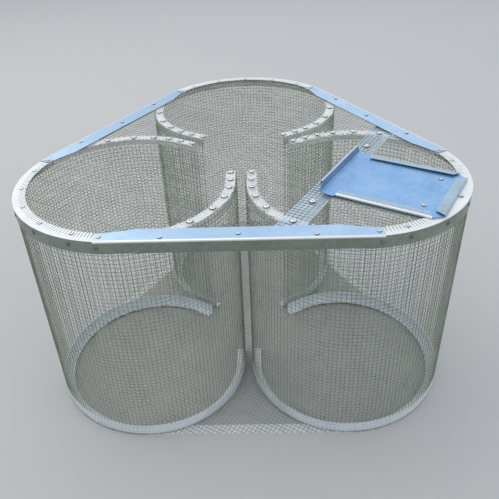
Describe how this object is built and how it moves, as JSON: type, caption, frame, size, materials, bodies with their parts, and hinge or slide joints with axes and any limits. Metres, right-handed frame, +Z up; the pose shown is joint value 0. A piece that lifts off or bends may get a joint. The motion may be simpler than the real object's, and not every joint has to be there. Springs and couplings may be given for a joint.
{
  "type": "fish trap",
  "caption": "Free-standing fish trap: wire netting lobes with narrow upright entrance slits, sheet-metal rims and a sliding door in the top.",
  "frame": {"origin": "on the ground, under the middle of the trap's bounding box", "axes": "+X to the right along the front rim strip, seen from the front; +Y to the back lobe; +Z up"},
  "size_m": [0.65, 0.6088, 0.3813],
  "materials": {
    "galvanised_sheet": "hot-dip galvanised sheet, dull",
    "galvanised_door_sheet": "galvanised sheet, smooth, reflecting the sky",
    "galvanised_wire": "galvanised wire",
    "aluminium_rivet": "bright"
  },
  "bodies": {
    "trap": {"lobe_wall_left": "galvanised_wire", "lobe_wall_right": "galvanised_wire", "lobe_wall_back": "galvanised_wire", "floor_netting": "galvanised_wire", "top_netting": "galvanised_wire", "rim_corner_left": "galvanised_sheet", "floor_ring_left": "galvanised_sheet", "rim_corner_right": "galvanised_sheet", "floor_ring_right": "galvanised_sheet", "rim_corner_back": "galvanised_sheet", "floor_ring_back": "galvanised_sheet", "curl_angle_left_front": "galvanised_sheet", "curl_angle_left_rear": "galvanised_sheet", "curl_angle_right_front": "galvanised_sheet", "curl_angle_right_rear": "galvanised_sheet", "curl_angle_back_left": "galvanised_sheet", "curl_angle_back_right": "galvanised_sheet", "rim_strip_front": "galvanised_sheet", "floor_strip_front": "galvanised_sheet", "rim_strip_left": "galvanised_sheet", "floor_strip_left": "galvanised_sheet", "rim_strip_right": "galvanised_sheet", "floor_strip_right": "galvanised_sheet", "hatch_strap": "galvanised_sheet", "hatch_backing_front": "galvanised_sheet", "hatch_backing_rear": "galvanised_sheet", "hatch_tray": "galvanised_sheet", "rim_rivet_front_1": "aluminium_rivet", "rim_rivet_front_2": "aluminium_rivet", "rim_rivet_front_3": "aluminium_rivet", "rim_rivet_front_4": "aluminium_rivet", "rim_rivet_front_5": "aluminium_rivet", "rim_rivet_left_1": "aluminium_rivet", "rim_rivet_left_2": "aluminium_rivet", "rim_rivet_left_3": "aluminium_rivet", "rim_rivet_left_4": "aluminium_rivet", "rim_rivet_left_5": "aluminium_rivet", "rim_rivet_right_1": "aluminium_rivet", "rim_rivet_right_2": "aluminium_rivet", "rim_rivet_right_3": "aluminium_rivet", "rim_rivet_right_4": "aluminium_rivet", "rim_rivet_right_5": "aluminium_rivet", "strap_rivet_inner_front": "aluminium_rivet", "strap_rivet_inner_rear": "aluminium_rivet", "strap_rivet_outer_front": "aluminium_rivet", "strap_rivet_outer_rear": "aluminium_rivet"},
    "door": {"hatch_door": "galvanised_door_sheet", "door_stop_rivet_front": "aluminium_rivet", "door_stop_rivet_rear": "aluminium_rivet"}
  },
  "joints": [
    {"name": "door_slide", "type": "slide", "parent": "trap", "child": "door", "axis": [-0.866, 0.5, 0], "range_m": [0, 0.11]}
  ]
}
